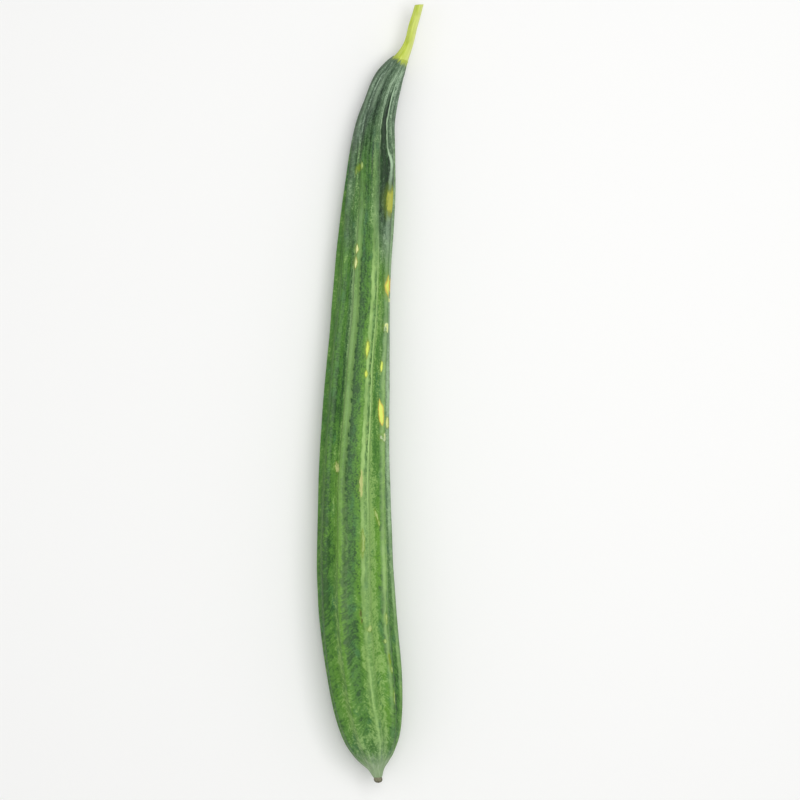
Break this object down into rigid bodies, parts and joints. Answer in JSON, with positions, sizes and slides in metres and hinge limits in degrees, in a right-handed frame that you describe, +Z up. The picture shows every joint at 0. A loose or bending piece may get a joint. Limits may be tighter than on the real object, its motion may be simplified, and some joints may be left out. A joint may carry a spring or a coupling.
{
  "type": "ridge gourd",
  "caption": "Long green ridge gourd with lengthwise ridges, a tapering neck and a short yellow-green stalk, lying on its side.",
  "frame": {"origin": "centre of the overall box, on the surface that the gourd lies on", "axes": "+Y from the blossom end to the stalk, +Z up from the surface, +X to the right when seen from above with the stalk at the top"},
  "size_m": [0.0666, 0.487, 0.0467],
  "materials": {
    "fruit_skin": "satin green rind with paler ridges and dark mottling",
    "stalk": "fresh fibrous yellow-green stalk",
    "dry_flower": "dry brown flower remnant"
  },
  "bodies": {
    "root": {"fruit": "fruit_skin", "stalk": "stalk", "flower_scar": "dry_flower"}
  },
  "joints": []
}
